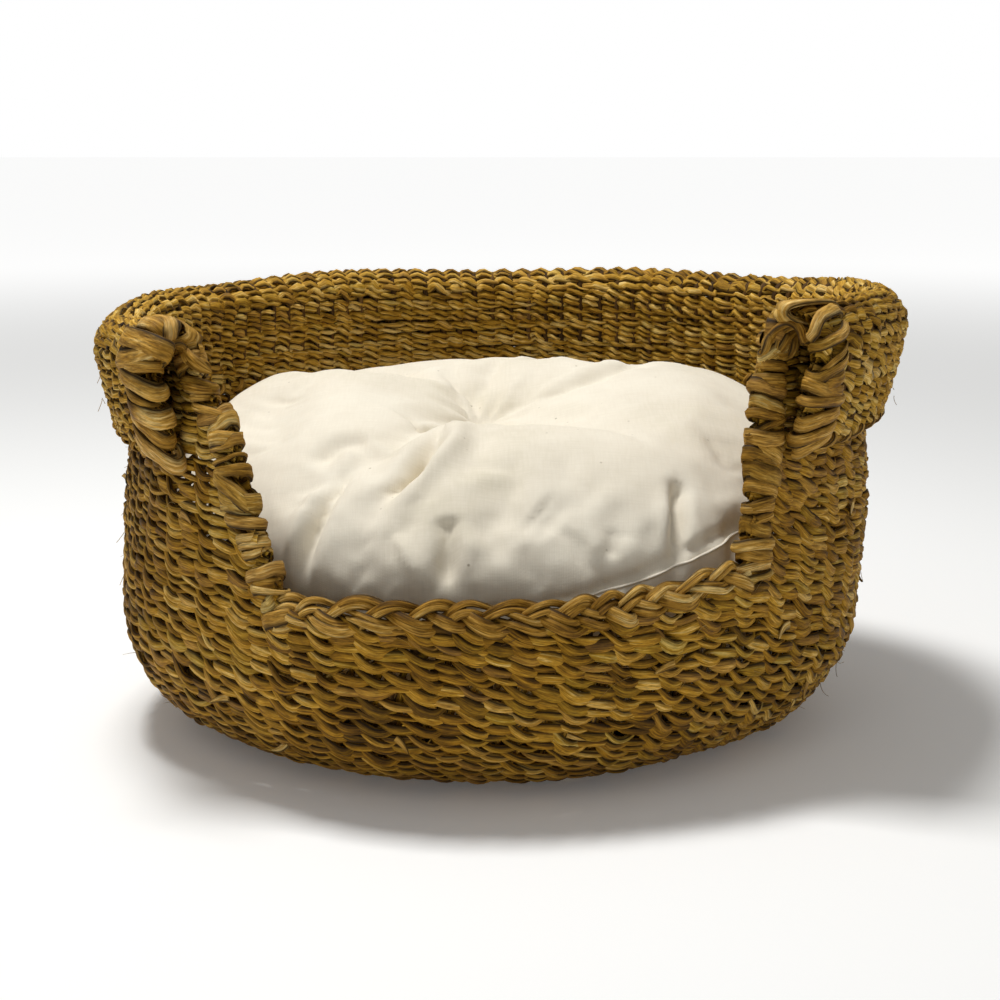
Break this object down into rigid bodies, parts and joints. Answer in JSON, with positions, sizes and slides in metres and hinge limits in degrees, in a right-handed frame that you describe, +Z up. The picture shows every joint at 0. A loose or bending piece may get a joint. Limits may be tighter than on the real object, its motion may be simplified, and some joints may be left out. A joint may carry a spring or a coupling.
{
  "type": "wicker pet bed basket",
  "caption": "Oval twined-rush pet bed with a low plaited front, a rolled collar round the back and sides, and a loose tufted cushion",
  "frame": {"origin": "centre of the overall box's footprint, on the floor that the base rests on", "axes": "+X to the right seen from the front, along the longest side; +Y from the low front opening to the back; +Z up, the shortest extent"},
  "size_m": [0.4856, 0.4171, 0.2594],
  "materials": {
    "rush_weave": "twined dried rush, satin, olive brown",
    "rush_binding": "wrapped dried rush, satin, straw brown",
    "rush_stake": "dried rush stalks, dull",
    "calico": "unbleached cotton calico, matte",
    "filling": "polyester fibre wadding, matte"
  },
  "bodies": {
    "basket": {"base_cross": "rush_stake", "base_weave": "rush_weave", "bottom_weave": "rush_weave", "belly_weave": "rush_weave", "front_rim_plait": "rush_binding", "side_weave": "rush_weave", "collar_inner_weave": "rush_weave", "collar_outer_weave": "rush_weave", "collar_lashing": "rush_binding", "left_edge_binding": "rush_binding", "right_edge_binding": "rush_binding", "left_collar_end": "rush_binding", "right_collar_end": "rush_binding", "front_stakes": "rush_stake", "back_stakes": "rush_stake"},
    "cushion": {"cushion_top_panel": "calico", "cushion_bottom_panel": "calico", "cushion_seam": "calico", "cushion_filling": "filling", "cushion_tuft_tie": "calico"}
  },
  "joints": [
    {"name": "cushion_lift", "type": "slide", "parent": "basket", "child": "cushion", "axis": [0, 0, 1], "range_m": [0, 0.3]}
  ]
}
